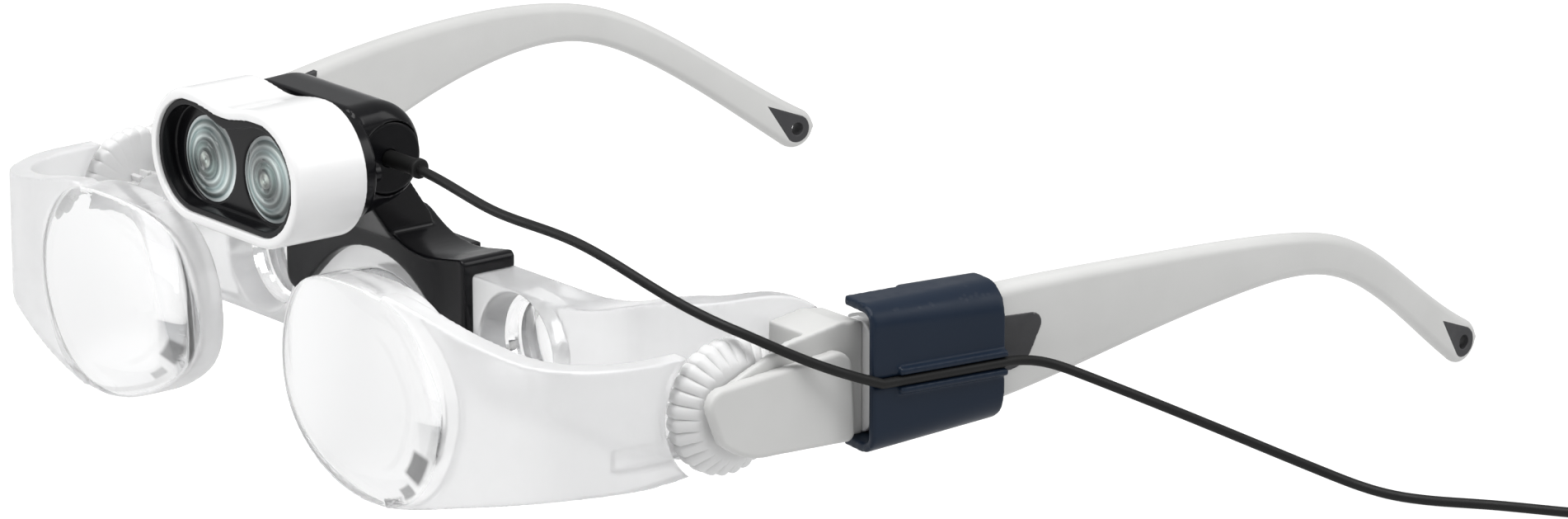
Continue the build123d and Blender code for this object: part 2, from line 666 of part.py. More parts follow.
def lamp_housing():
    """Black rear body with a slot for the bracket's stalk and a round seat on each side."""
    flange = prism_y(lobe_outline(SHELL_WALL + 0.05), LAMP_BACK_Y - 0.4, -17.0)
    flange = flange & block((-LAMP_BODY_HALF_WIDTH - 4.5, LAMP_BODY_HALF_WIDTH + 4.5), (-40, 0), (0, 40))
    body = prism_x(lamp_body_side_view(), -LAMP_BODY_HALF_WIDTH, LAMP_BODY_HALF_WIDTH)
    outer_faces = body.faces().sort_by(Axis.X)
    rims = outer_faces[0].edges() + outer_faces[-1].edges()
    body = soften(body, LAMP_BODY_ROUNDING, rims.filter_by(lambda e: e.center().Y > -17))
    body = body + flange
    slot = block((-STALK_HALF_WIDTH - 0.15, STALK_HALF_WIDTH + 0.15), (-16.6, 0), (5, 27.6))
    body = body - slot
    for side in (-1, 1):
        ends = sorted((side * 11.3, side * 20))
        body = body - rod_x(PIVOT_CAP_RADIUS + 0.1, TILT_Y, TILT_Z, *ends)
    body = body - rod_x(BOOT_FLANGE_RADIUS + 0.05, TILT_Y, TILT_Z, 9.85, 12)
    for side in (-1, 1):
        body = body - rod_y(LAMP_SCREW_RADIUS, side * LAMP_SCREW_X, LAMP_Z, -25, -16.9)
    return body - rod_x(TILT_PIN_RADIUS, TILT_Y, TILT_Z, -9.6, 9.6)


def pivot_cap(hole_radius):
    """Round cover of the tilt pivot, set just below the lamp body's side."""
    cap = rod_x(PIVOT_CAP_RADIUS, TILT_Y, TILT_Z, 11.35, 12.5)
    cap = soften(cap, 0.3, cap.faces().sort_by(Axis.X)[-1].edges())
    if hole_radius:
        cap = cap - rod_x(hole_radius, TILT_Y, TILT_Z, 10, 14)
    return cap


def tilt_pin():
    return rod_x(TILT_PIN_RADIUS, TILT_Y, TILT_Z, -9.5, 9.5)


def lamp_screws():
    """Two screws that clamp the circuit board to the rear body."""
    screws = []
    for side in (-1, 1):
        shank = rod_y(LAMP_SCREW_RADIUS, side * LAMP_SCREW_X, LAMP_Z, BOARD_FRONT_Y - 0.6, -16.5)
        head = rod_y(1.5, side * LAMP_SCREW_X, LAMP_Z, -16.98, -16.1)
        screws.append((shank + head).solids()[0])
    return Compound(children=screws)


# ================================================================ lamp bracket
def bracket_wave():
    """The bracket's wavy top edge from the front, right half first."""
    half = [(0, 11.2), (3.4, 9.9), (7.5, 8.1), (12.4, 7.4), (17.2, 7.9), (BRACKET_HALF_WIDTH - 1, 8.6)]
    mirrored = [(-x, z) for x, z in reversed(half[1:])]
    return Spline(*mirrored, *half)


def bracket_front_face():
    """Front plate with two legs that straddle the nose arch."""
    edge = BRACKET_HALF_WIDTH
    half = [(0, 5.6), (4.6, 5.1), (9, 3.4), (13, 0.6), (16.2, -2.3), (19.4, -4.9)]
    arch = Spline(*[(-x, z) for x, z in reversed(half[1:])], *half)
    face = [*bracket_wave().edges(), *arch.edges()]
    for side in (-1, 1):
        face += ThreePointArc((side * (edge - 1), 8.6), (side * (edge - 0.25), 8.3), (side * edge, 7.4)).edges()
        face += Line((side * edge, 7.4), (side * edge, -2.4)).edges()
        face += ThreePointArc((side * edge, -2.4), (side * (edge - 0.9), -4.4), (side * 19.4, -4.9)).edges()
    return make_face(face)


def stalk_side_view():
    """The stalk that carries the tilt pin, from the side."""
    stem = polygon((-15.1, 21.2), (-6.0, 8.0), (1.5, 8.0), (1.2, 10.6), (-8.0, 24.4))
    return stem + Pos(TILT_Y, TILT_Z) * Circle(3.8)


def lamp_bracket():
    plate = prism_y(bracket_front_face(), BRACKET_FRONT_Y, BRACKET_LEG_BACK_Y)
    roof = prism_y(bracket_front_face(), BRACKET_LEG_BACK_Y - 0.5, BRACKET_BACK_Y)
    roof = roof & block((-30, 30), (-10, 10), (BRIDGE_TOP_Z + 0.05, 20))
    lip = block((-11, 11), (FRAME_BACK_Y + 0.05, FRAME_BACK_Y + 1.5), (3.2, HOOK_TOP_Z))
    link = block((-11, 11), (BRACKET_BACK_Y - 0.5, FRAME_BACK_Y + 1.5), (BRIDGE_TOP_Z + 0.05, HOOK_TOP_Z))
    stalk = prism_x(stalk_side_view(), -STALK_HALF_WIDTH, STALK_HALF_WIDTH)
    stalk = stalk - block((-30, 30), (BRACKET_LEG_BACK_Y, 10), (0, BRIDGE_TOP_Z + 0.05))
    body = plate + roof + lip + link + stalk
    return body - rod_x(TILT_PIN_RADIUS + RUNNING_GAP, TILT_Y, TILT_Z, -30, 30)


# ================================================================ cable
def tube_along(points, start_direction, end_direction):
    """Cable swept along a smooth path through the given points."""
    path = Spline(*points, tangents=[start_direction, end_direction])
    section = Plane(origin=path @ 0, z_dir=path % 0) * Circle(CABLE_RADIUS)
    return sweep(section, path=path)


def cable_boot():
    """Strain relief on the tilt axis, so it turns in place as the lamp tilts."""
    sleeve = rod_x(1.25, TILT_Y, TILT_Z, 10.2, BOOT_END_X)
    flange = rod_x(BOOT_FLANGE_RADIUS, TILT_Y, TILT_Z, 9.9, 11.2)
    collar = rod_x(1.5, TILT_Y, TILT_Z, BOOT_END_X - 1, BOOT_END_X)
    return sleeve + flange + collar


def cable_front():
    """From the lamp to the clip, hanging free beside the left lens."""
    points = [
        (BOOT_END_X + 0.05, TILT_Y, TILT_Z - 0.2),
        (35, -10, 19.7),
        (51, -7.6, 18.2),
        (66.5, -2.6, 12.5),
        (75.2, 2.2, 8.9),
        (81.2, 8.6, 5.0),
        CLIP_ENTRY - 0.1 * CLIP_DIRECTION,
    ]
    return tube_along(points, (1, 0, -0.06), CLIP_DIRECTION)


def cable_rear():
    """Straight through the clip, then down to the table."""
    points = [
        CLIP_EXIT,
        (92.6, 50.4, -2.3),
        (104.5, 62.3, -8.7),
        (114.6, 78, -17.2),
        (122, 82.6, TABLE_Z + CABLE_RADIUS),
        (132, 88.2, TABLE_Z + CABLE_RADIUS),
        (158, 106, TABLE_Z + CABLE_RADIUS),
    ]
    section = Plane(origin=CLIP_ENTRY, z_dir=CLIP_DIRECTION) * Circle(CABLE_RADIUS)
    in_clip = extrude(section, amount=(CLIP_EXIT - CLIP_ENTRY).length)
    return in_clip + tube_along(points, CLIP_DIRECTION, (1, 0.7, 0))


def plug_profile(points):
    return revolve(make_face(Polyline(*points, close=True).edges()), axis=Axis.X)


def cable_plug():
    """Moulded grip of the plug at the cable's free end."""
    grip = [(0, 0), (0, 1.3), (5, 1.8), (5.4, 3.0), (14, 3.1), (14.6, 2.6), (14.6, 0)]
    return PLUG_PLACE * plug_profile(grip)


def plug_barrel():
    """Metal barrel that goes into the supply."""
    outer = plug_profile([(14.65, 0), (14.65, 1.75), (24, 1.75), (24.3, 1.5), (24.3, 0)])
    return PLUG_PLACE * (outer - Pos(16, 0, 0) * (Rot(0, 90, 0) * Cylinder(0.7, 30)))


def clip_body(inset, corner_share, over):
    """The clip's tapering outer form, or its hollow, from front to rear."""
    sections = []
    for y, middle_z, height, corner in ((-over, 0.1, 21.8, 3.2), (CLIP_LENGTH + over, 0.95, 20.5, 4.6)):
        outline = RectangleRounded(CLIP_WIDTH - 2 * inset, height - 2 * inset, corner * corner_share)
        station = Plane(origin=(0, y, 0), x_dir=(1, 0, 0), z_dir=(0, -1, 0))
        sections.append((station * (Pos(-2.4, middle_z) * outline)).face())
    return loft(sections)


def cable_clip():
    """Slotted C-section that grips the left temple and the cable."""
    clip = clip_body(0, 1, 0) - clip_body(CLIP_WALL, 0.4, 1)
    clip = clip - block((-12, -5.6), (-1, CLIP_LENGTH + 1), (-7, 8.4))
    clip = clip - block((-12, -4.6), (-1, CLIP_LIP_START), (-20, 20))
    for side in (-1, 1):
        ridge = Pos(3.5, GROOVE_Z + side * 1.35) * RectangleRounded(1.5, 1.1, 0.4)
        clip = clip + prism_y(ridge, CLIP_RIDGE_START, CLIP_LENGTH)
    clip = clip - rod_y(CABLE_RADIUS + 0.06, GROOVE_X, GROOVE_Z, -1, CLIP_LENGTH + 1)
    low, high = GROOVE_Z - CABLE_RADIUS - 0.06, GROOVE_Z + CABLE_RADIUS + 0.06
    clip = clip - block((GROOVE_X, GROOVE_X + 1.5), (-1, CLIP_LENGTH + 1), (low, high))
    return CLIP_PLACE * clip


# ================================================================ writing the parts
def write(name, shape):
    export_step(shape, f"parts/{name}.step")


def write_pair(name, shape):
    """Writes a left part and its mirror image."""
    write(f"{name}_left", shape)
    write(f"{name}_right", mirror(shape, about=Plane.YZ))


write("rear_frame", rear_frame())
write("nose_saddle", nose_saddle())
write_pair("eyepiece", eyepiece())
write_pair("lens_shell", lens_shell())
write_pair("focus_wheel", focus_wheel())
write_pair("wheel_axle", wheel_axle())
write_pair("wheel_housing", wheel_housing())
write_pair("housing_cap", housing_cap())
write_pair("hinge_collar", hinge_collar())
write("housing_screws", housing_screws())
write_pair("hinge_pin", hinge_pin())
write_pair("temple", temple())
write_pair("temple_inlay", temple_inlay())
write_pair("temple_strip", temple_strip())
write_pair("tip_insert", tip_insert())
write("lamp_shell", lamp_shell())
write("lamp_bezel", lamp_bezel())
write("collimator_lenses", collimator_lenses())
write("led_chips", led_chips())
write("led_board", led_board())
write("lamp_housing", lamp_housing())
write("pivot_cap_left", pivot_cap(1.3))
write("pivot_cap_right", mirror(pivot_cap(0), about=Plane.YZ))
write("tilt_pin", tilt_pin())
write("lamp_screws", lamp_screws())
write("lamp_bracket", lamp_bracket())
write("cable_boot", cable_boot())
write("cable_front", cable_front())
write("cable_rear", cable_rear())
write("cable_plug", cable_plug())
write("plug_barrel", plug_barrel())
write("cable_clip", cable_clip())
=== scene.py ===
import json
import math

import bmesh
import bpy
import numpy as np
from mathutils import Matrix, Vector


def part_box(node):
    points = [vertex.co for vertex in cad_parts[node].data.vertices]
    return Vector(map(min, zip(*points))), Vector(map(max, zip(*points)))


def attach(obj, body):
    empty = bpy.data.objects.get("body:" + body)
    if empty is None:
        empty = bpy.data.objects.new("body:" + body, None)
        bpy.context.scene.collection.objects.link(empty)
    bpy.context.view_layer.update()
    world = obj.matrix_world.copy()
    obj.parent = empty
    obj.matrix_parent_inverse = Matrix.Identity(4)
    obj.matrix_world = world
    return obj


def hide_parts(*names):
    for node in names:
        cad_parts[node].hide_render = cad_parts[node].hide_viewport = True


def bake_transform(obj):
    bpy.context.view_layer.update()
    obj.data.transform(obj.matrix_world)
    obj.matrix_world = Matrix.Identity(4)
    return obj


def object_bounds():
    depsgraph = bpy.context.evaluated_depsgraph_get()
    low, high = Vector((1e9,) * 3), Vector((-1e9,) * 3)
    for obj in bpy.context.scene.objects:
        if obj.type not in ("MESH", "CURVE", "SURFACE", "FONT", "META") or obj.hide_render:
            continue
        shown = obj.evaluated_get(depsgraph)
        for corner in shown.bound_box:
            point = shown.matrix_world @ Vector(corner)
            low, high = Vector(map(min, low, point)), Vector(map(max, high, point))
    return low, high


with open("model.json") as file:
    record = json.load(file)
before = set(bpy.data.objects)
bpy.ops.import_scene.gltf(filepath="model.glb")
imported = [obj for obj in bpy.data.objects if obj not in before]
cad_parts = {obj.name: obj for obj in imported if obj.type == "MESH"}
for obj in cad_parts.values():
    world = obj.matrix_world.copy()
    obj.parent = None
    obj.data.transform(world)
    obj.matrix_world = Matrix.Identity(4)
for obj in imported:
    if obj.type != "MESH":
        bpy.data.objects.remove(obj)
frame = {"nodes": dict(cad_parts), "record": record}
CAD_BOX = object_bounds()
NODES = frame["nodes"]
MM = 0.001
END_MARGIN = 0.9 * MM  # how far from a node's ends its middle line starts and stops
FROST = "frost"  # mesh attribute: 1 on frosted walls, 0 on the optical faces
PAINTED_SHADE_MASK = "painted_rim_shade"  # mesh attribute: painted shade, 1 where the lens is painted dark near its rim


# ---------------------------------------------------------------- reading shapes from the frame
def node_arrays(node):
    """Vertices and edges of a CAD node, in metres."""
    mesh = NODES[node].data
    points = np.empty(len(mesh.vertices) * 3)
    mesh.vertices.foreach_get("co", points)
    edges = np.empty(len(mesh.edges) * 2, int)
    mesh.edges.foreach_get("vertices", edges)
    return points.reshape(-1, 3), edges.reshape(-1, 2)


def slicer(node, axis):
    """A function that gives the points where a plane across the axis cuts the node."""
    points, edges = node_arrays(node)
    start, end = points[edges[:, 0]], points[edges[:, 1]]

    def cut(value):
        before, after = start[:, axis] - value, end[:, axis] - value
        crossing = before * after < 0
        share = before[crossing] / (before[crossing] - after[crossing])
        return start[crossing] + (end[crossing] - start[crossing]) * share[:, None]

    return cut


def centre_line(node, axis, count):
    """The middle of a long thin node at even steps along an axis."""
    low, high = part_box(node)
    cut = slicer(node, axis)
    steps = np.linspace(low[axis] + END_MARGIN, high[axis] - END_MARGIN, count)
    line = []
    for value in steps:
        points = cut(value)
        line.append((points.min(0) + points.max(0)) / 2)
    return line


# ---------------------------------------------------------------- mesh helpers
def mesh_piece(name, points, faces, smooth=True):
    mesh = bpy.data.meshes.new(name)
    mesh.from_pydata([tuple(p) for p in points], [], [tuple(f) for f in faces])
    mesh.validate()
    mesh.update()
    piece = bpy.data.objects.new(name, mesh)
    bpy.context.scene.collection.objects.link(piece)
    if smooth:
        mesh.shade_smooth()
    return piece


def loft(name, rings, closed=True):
    """A skin over equal rings of points, with a fan over both ends when the rings are closed."""
    count = len(rings[0])
    points = [p for ring in rings for p in ring]
    faces = []
    for r in range(len(rings) - 1):
        for i in range(count if closed else count - 1):
            j = (i + 1) % count
            a, b = r * count, (r + 1) * count
            faces.append((a + i, a + j, b + j, b + i))
    if closed:
        for ring, order in ((0, -1), (len(rings) - 1, 1)):
            centre = len(points)
            points.append(np.mean(rings[ring], axis=0))
            for i in range(count):
                pair = (ring * count + i, ring * count + (i + 1) % count)
                faces.append((*pair[::order], centre))
    piece = mesh_piece(name, points, faces)
    tidy_normals(piece)
    return piece


def tidy_normals(piece):
    work = bmesh.new()
    work.from_mesh(piece.data)
    bmesh.ops.remove_doubles(work, verts=work.verts, dist=1e-7)
    bmesh.ops.recalc_face_normals(work, faces=work.faces)
    work.to_mesh(piece.data)
    work.free()


def lathe(name, profile, centre, axis, count=64):
    """Turns (distance along the axis, radius) pairs round an axis through the centre."""
    along = Vector(axis).normalized()
    side = along.orthogonal().normalized()
    other = along.cross(side)
    rings = []
    for distance, radius in profile:
        ring = []
        for i in range(count):
            turn = 2 * math.pi * i / count
            spoke = side * math.cos(turn) + other * math.sin(turn)
            ring.append(Vector(centre) + along * distance + spoke * radius)
        rings.append(ring)
    return loft(name, rings)


def rounded_rectangle(width, height, radius, steps=6):
    """Points round a rectangle whose corners are quarter circles."""
    radius = min(radius, 0.49 * width, 0.49 * height)
    points = []
    for corner, (sx, sz) in enumerate(((1, 1), (-1, 1), (-1, -1), (1, -1))):
        for i in range(steps + 1):
            turn = math.pi / 2 * (corner + i / steps)
            x = sx * (width / 2 - radius) + radius * math.cos(turn)
            z = sz * (height / 2 - radius) + radius * math.sin(turn)
            points.append((x, z))
    return points


def apply_modifiers(piece):
    """Bakes the piece's modifiers into its mesh."""
    graph = bpy.context.evaluated_depsgraph_get()
    mesh = bpy.data.meshes.new_from_object(piece.evaluated_get(graph))
    piece.modifiers.clear()
    old = piece.data
    piece.data = mesh
    bpy.data.meshes.remove(old)


def mirrored(piece, name):
    """The same piece on the other side of the middle plane."""
    twin = piece.copy()
    twin.name = name
    twin.data = piece.data.copy()
    bpy.context.scene.collection.objects.link(twin)
    for vertex in twin.data.vertices:
        vertex.co.x = -vertex.co.x
    twin.data.flip_normals()
    return twin


def soften(piece, voxel, rounds):
    """Turns sharp edges into moulded ones: a fine even skin that is then relaxed."""
    skin = piece.modifiers.new("skin", "REMESH")
    skin.mode = "VOXEL"
    skin.voxel_size = voxel * MM
    skin.use_smooth_shade = True
    relax = piece.modifiers.new("relax", "SMOOTH")
    relax.factor = 0.5
    relax.iterations = rounds


def cut_away(piece, tools):
    """Cuts closed tool pieces out of a piece."""
    for tool in tools:
        cut = piece.modifiers.new("cut", "BOOLEAN")
        cut.operation = "DIFFERENCE"
        cut.solver = "EXACT"
        cut.object = tool
    apply_modifiers(piece)
    for tool in tools:
        bpy.data.objects.remove(tool)


# ---------------------------------------------------------------- materials
def new_material(name):
    made = bpy.data.materials.new(name)
    made.use_nodes = True
    made.node_tree.nodes.clear()
    return made, made.node_tree.nodes, made.node_tree.links


def noise(nodes, links, scale, detail=3.0):
    """Noise whose scale is given in waves per millimetre."""
    place = nodes.new("ShaderNodeTexCoord")
    texture = nodes.new("ShaderNodeTexNoise")
    texture.inputs["Scale"].default_value = scale / MM
    texture.inputs["Detail"].default_value = detail
    links.new(place.outputs["Object"], texture.inputs["Vector"])
    return texture.outputs["Fac"]


def remap(nodes, links, value, low, high):
    step = nodes.new("ShaderNodeMapRange")
    step.inputs["From Min"].default_value = 0.3
    step.inputs["From Max"].default_value = 0.7
    step.inputs["To Min"].default_value = low
    step.inputs["To Max"].default_value = high
    links.new(value, step.inputs["Value"])
    return step.outputs["Result"]


def tinted(nodes, links, value, dark, light):
    ramp = nodes.new("ShaderNodeValToRGB")
    ramp.color_ramp.elements[0].position = 0.3
    ramp.color_ramp.elements[0].color = (*dark, 1)
    ramp.color_ramp.elements[1].position = 0.7
    ramp.color_ramp.elements[1].color = (*light, 1)
    links.new(value, ramp.inputs["Fac"])
    return ramp.outputs["Color"]


def shade(colour, factor):
    return tuple(min(1.0, c * factor) for c in colour)


def edge_worn(nodes, links, colour, worn, amount):
    """Mixes a worn colour in along sharp convex edges."""
    shape = nodes.new("ShaderNodeNewGeometry")
    ridge = nodes.new("ShaderNodeMapRange")
    ridge.inputs["From Min"].default_value = 0.52
    ridge.inputs["From Max"].default_value = 0.6
    ridge.inputs["To Max"].default_value = amount
    links.new(shape.outputs["Pointiness"], ridge.inputs["Value"])
    mix = nodes.new("ShaderNodeMix")
    mix.data_type = "RGBA"
    links.new(ridge.outputs["Result"], mix.inputs["Factor"])
    links.new(colour, mix.inputs["A"])
    mix.inputs["B"].default_value = (*worn, 1)
    return mix.outputs["Result"]


def bumped(nodes, links, scale, depth_um, detail=4.0):
    bump = nodes.new("ShaderNodeBump")
    bump.inputs["Distance"].default_value = depth_um * 1e-6
    bump.inputs["Strength"].default_value = 1.0
    links.new(noise(nodes, links, scale, detail), bump.inputs["Height"])
    return bump.outputs["Normal"]


def moulded(name, colour, rough, grain=1.6, depth_um=12, mottle=0.03, wear=0.25, metal=0.0, coat=0.0,
            soft=0.0, specular=0.5):
    """Moulded plastic, rubber or metal: mottled colour, uneven gloss, fine grain and lighter worn edges."""
    made, nodes, links = new_material(name)
    out = nodes.new("ShaderNodeOutputMaterial")
    body = nodes.new("ShaderNodeBsdfPrincipled")
    clouds = noise(nodes, links, 0.12)
    base = tinted(nodes, links, clouds, shade(colour, 1 - mottle), shade(colour, 1 + mottle))
    worn = tuple(c + (1 - c) * 0.35 for c in colour)
    links.new(edge_worn(nodes, links, base, worn, wear), body.inputs["Base Color"])
    gloss = noise(nodes, links, 0.35)
    links.new(remap(nodes, links, gloss, rough * 0.85, rough * 1.15), body.inputs["Roughness"])
    links.new(bumped(nodes, links, grain, depth_um), body.inputs["Normal"])
    body.inputs["Metallic"].default_value = metal
    body.inputs["Coat Weight"].default_value = coat
    body.inputs["Specular IOR Level"].default_value = specular
    if soft:
        body.inputs["Subsurface Weight"].default_value = soft
        body.inputs["Subsurface Radius"].default_value = (1, 1, 1)
        body.inputs["Subsurface Scale"].default_value = 1.2 * MM
    links.new(body.outputs["BSDF"], out.inputs["Surface"])
    return made


def clear(name, tint, rough, milk, milk_colour, depth_um=3, grain=0.5, masked=False):
    """Acrylic: refracting, with a little milk in it.  A masked one is frosted only where the mesh says so,
    and painted with shade where the mesh marks it.
    """
    made, nodes, links = new_material(name)
    out = nodes.new("ShaderNodeOutputMaterial")
    glass = nodes.new("ShaderNodeBsdfPrincipled")
    glass.inputs["Base Color"].default_value = (*tint, 1)
    glass.inputs["Transmission Weight"].default_value = 1
    glass.inputs["IOR"].default_value = 1.49
    roughness = remap(nodes, links, noise(nodes, links, 0.25), rough * 0.8, rough * 1.2)
    normal = bumped(nodes, links, grain, depth_um)
    haze = nodes.new("ShaderNodeBsdfPrincipled")
    haze_colour = tinted(nodes, links, noise(nodes, links, 0.08), shade(milk_colour, 0.985), milk_colour)
    links.new(haze_colour, haze.inputs["Base Color"])
    haze.inputs["Roughness"].default_value = 0.3
    amount = remap(nodes, links, noise(nodes, links, 0.06), milk * 0.95, milk * 1.05)
    if masked:
        mask = nodes.new("ShaderNodeAttribute")
        mask.attribute_name = FROST
        roughness = combined(nodes, links, "MULTIPLY", roughness, mask.outputs["Fac"])
        amount = combined(nodes, links, "MULTIPLY", amount, mask.outputs["Fac"])
        # painted shade: the glass colour goes towards near-black where the painted-shade attribute is set
        painted_rim_shade = nodes.new("ShaderNodeAttribute")
        painted_rim_shade.attribute_name = PAINTED_SHADE_MASK
        painted_shade_mix = nodes.new("ShaderNodeMix")
        painted_shade_mix.data_type = "RGBA"
        links.new(painted_rim_shade.outputs["Fac"], painted_shade_mix.inputs["Factor"])
        painted_shade_mix.inputs["A"].default_value = (*tint, 1)
        painted_shade_mix.inputs["B"].default_value = (0.008, 0.008, 0.009, 1)
        links.new(painted_shade_mix.outputs["Result"], glass.inputs["Base Color"])
    else:
        links.new(normal, glass.inputs["Normal"])
    links.new(roughness, glass.inputs["Roughness"])
    mix = nodes.new("ShaderNodeMixShader")
    links.new(amount, mix.inputs["Fac"])
    links.new(glass.outputs["BSDF"], mix.inputs[1])
    links.new(haze.outputs["BSDF"], mix.inputs[2])
    links.new(mix.outputs["Shader"], out.inputs["Surface"])
    return made


def combined(nodes, links, operation, *values):
    """A maths node over sockets and plain numbers."""
    step = nodes.new("ShaderNodeMath")
    step.operation = operation
    for socket, value in zip(step.inputs, values):
        if isinstance(value, (int, float)):
            socket.default_value = value
        else:
            links.new(value, socket)
    return step.outputs[0]


# the optic's rings, partly its ring structure and partly painted light: near-white rings are painted
# highlights, dark rings painted shade
RING_TONES_AND_PAINTED_GLINTS = (
    (0.0, (0.5, 0.6, 0.56)), (0.14, (0.75, 0.82, 0.76)), (0.2, (0.07, 0.1, 0.1)), (0.34, (0.3, 0.4, 0.38)),
    (0.46, (0.1, 0.15, 0.15)), (0.56, (0.85, 0.97, 0.95)), (0.7, (0.3, 0.42, 0.42)), (0.8, (0.9, 1.0, 0.98)),
    (0.9, (0.25, 0.34, 0.34)), (0.96, (0.9, 0.97, 0.97)),
)


def collimator(name):
    """Ringed optic of each lamp lens, measured from the nearer of the two axes, with painted highlights and
    shade in its rings and a brighter fan on two sides.
    """
    made, nodes, links = new_material(name)
    low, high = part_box("collimator_lenses")
    radius = (high.z - low.z) / 2
    out = nodes.new("ShaderNodeOutputMaterial")
    place_node = nodes.new("ShaderNodeTexCoord")
    split = nodes.new("ShaderNodeSeparateXYZ")
    links.new(place_node.outputs["Object"], split.inputs["Vector"])
    across = combined(nodes, links, "ABSOLUTE", split.outputs["X"])
    across = combined(nodes, links, "SUBTRACT", across, high.x - radius)
    up = combined(nodes, links, "SUBTRACT", split.outputs["Z"], (high.z + low.z) / 2)
    square = combined(nodes, links, "MULTIPLY", across, across)
    total = combined(nodes, links, "MULTIPLY_ADD", up, up, square)
    share = combined(nodes, links, "DIVIDE", combined(nodes, links, "SQRT", total), radius)
    ramp = nodes.new("ShaderNodeValToRGB")
    bands = ramp.color_ramp.elements
    for i, (position, colour) in enumerate(RING_TONES_AND_PAINTED_GLINTS):
        band = bands[i] if i < 2 else bands.new(position)
        band.position = position
        band.color = (*colour, 1)
    links.new(share, ramp.inputs["Fac"])
    body = nodes.new("ShaderNodeBsdfPrincipled")
    # painted highlight: the colour is brighter in a fan on two opposite sides round the axis
    turn = combined(nodes, links, "ARCTAN2", up, across)
    turned = combined(nodes, links, "ADD", turn, 0.9)
    painted_glint_fan = combined(nodes, links, "ABSOLUTE", combined(nodes, links, "SINE", turned))
    level = combined(nodes, links, "MULTIPLY_ADD", combined(nodes, links, "POWER", painted_glint_fan, 3.0), 0.9, 0.35)
    lit = nodes.new("ShaderNodeVectorMath")
    lit.operation = "SCALE"
    links.new(ramp.outputs["Color"], lit.inputs[0])
    links.new(level, lit.inputs["Scale"])
    links.new(lit.outputs["Vector"], body.inputs["Base Color"])
    links.new(remap(nodes, links, noise(nodes, links, 0.6), 0.05, 0.11), body.inputs["Roughness"])
    body.inputs["Transmission Weight"].default_value = 0.2
    body.inputs["Coat Weight"].default_value = 1.0
    ripple = nodes.new("ShaderNodeBump")
    ripple.inputs["Distance"].default_value = 0.25 * MM
    phase = combined(nodes, links, "MULTIPLY", share, 26.0)
    links.new(combined(nodes, links, "SINE", phase), ripple.inputs["Height"])
    links.new(ripple.outputs["Normal"], body.inputs["Normal"])
    links.new(body.outputs["BSDF"], out.inputs["Surface"])
    return made


MATERIALS = {
    "clear_acrylic": clear("clear_acrylic", (0.99, 0.992, 0.995), 0.16, 0.34, (0.96, 0.96, 0.965)),
    "shell_acrylic": clear("shell_acrylic", (0.99, 0.992, 0.995), 0.2, 0.5, (0.96, 0.96, 0.965), masked=True),
    "lens_acrylic": clear("lens_acrylic", (0.995, 0.997, 1.0), 0.006, 0.02, (0.95, 0.95, 0.96), depth_um=0.1),
    "clear_silicone": clear("clear_silicone", (0.97, 0.975, 0.985), 0.3, 0.35, (0.9, 0.9, 0.91)),
    "frosted_white": moulded("frosted_white", (0.72, 0.72, 0.72), 0.42, soft=0.3, wear=0.15),
    "warm_grey": moulded("warm_grey", (0.6, 0.6, 0.59), 0.42, grain=2.2, depth_um=8, mottle=0.02),
    "dark_soft_touch": moulded("dark_soft_touch", (0.035, 0.035, 0.038), 0.62, grain=3.0, depth_um=14),
    "collimator": collimator("collimator"),
    "steel": moulded("steel", (0.6, 0.6, 0.6), 0.3, grain=3.0, depth_um=3, metal=1.0),
    "lamp_white": moulded("lamp_white", (0.84, 0.84, 0.84), 0.2, depth_um=4, mottle=0.01, coat=0.4, wear=0.1),
    "lamp_black": moulded("lamp_black", (0.004, 0.004, 0.005), 0.2, grain=2.4, depth_um=1, wear=0.004,
                          specular=0.22),
    "led_phosphor": moulded("led_phosphor", (0.75, 0.65, 0.2), 0.5, wear=0),
    "circuit_board": moulded("circuit_board", (0.8, 0.8, 0.78), 0.5, wear=0),
    "clip_navy": moulded("clip_navy", (0.008, 0.016, 0.032), 0.34, grain=2.6, depth_um=3, wear=0.02,
                         specular=0.2),
    "cable_black": moulded("cable_black", (0.008, 0.008, 0.008), 0.5, grain=4.0, depth_um=6, wear=0.02,
                           specular=0.25),
}
SLOT_OF = {part["node"]: part["material_slot"] for part in frame["record"]["subparts"]}


def paint(piece, *slots):
    piece.data.materials.clear()
    for name in slots:
        piece.data.materials.append(MATERIALS[name])


def place(piece, body, slot, *stands_for):
    """Finishes a new piece: its finish, the body it rides on and the CAD nodes it stands for."""
    if not piece.data.materials:
        paint(piece, slot)
    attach(piece, body)
    if stands_for:
        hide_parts(*stands_for)
    return piece


# ---------------------------------------------------------------- lens shells
LENS_SHELL_VOXEL = 0.26
LENS_SHELL_ROUNDS = 7
SPHERE_RADIUS = 56.0 * MM
LENS_BACK_Y = -25.5 * MM
PAINTED_SHADE_BACK_Y = -29.2 * MM  # the painted shade stays in front of this, a little further back away from the axis
RIM_STEPS = 180
LENS_OUTLINE = (  # X and Z in millimetres
    (10.6, -4), (17, 8.8), (31, 11.6), (43, 9), (50.2, -1),
    (49, -10), (43.6, -17), (33, -19.2), (16.8, -13.8),
)


def optical_centre():
    """The left optical axis's place, read from its eyepiece."""
    low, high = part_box("eyepiece_left")
    return (low + high) / 2


def lens_rim(centre, count):
    """Distance from the optical axis to the lens's rim, all the way round."""
    knots = np.array(LENS_OUTLINE) * MM
    line = []
    for i in range(len(knots)):
        a, b, c, d = (knots[(i + k) % len(knots)] for k in (-1, 0, 1, 2))
        for t in np.linspace(0, 1, 12, endpoint=False):
            line.append(0.5 * (2 * b + (c - a) * t + (2 * a - 5 * b + 4 * c - d) * t**2
                               + (3 * b - a - 3 * c + d) * t**3))
    line = np.array(line) - np.array([centre.x, centre.z])
    angles = np.arctan2(line[:, 1], line[:, 0])
    order = np.argsort(angles)
    turns = np.linspace(-math.pi, math.pi, count, endpoint=False)
    return turns, np.interp(turns, angles[order], np.hypot(*line.T)[order], period=2 * math.pi)


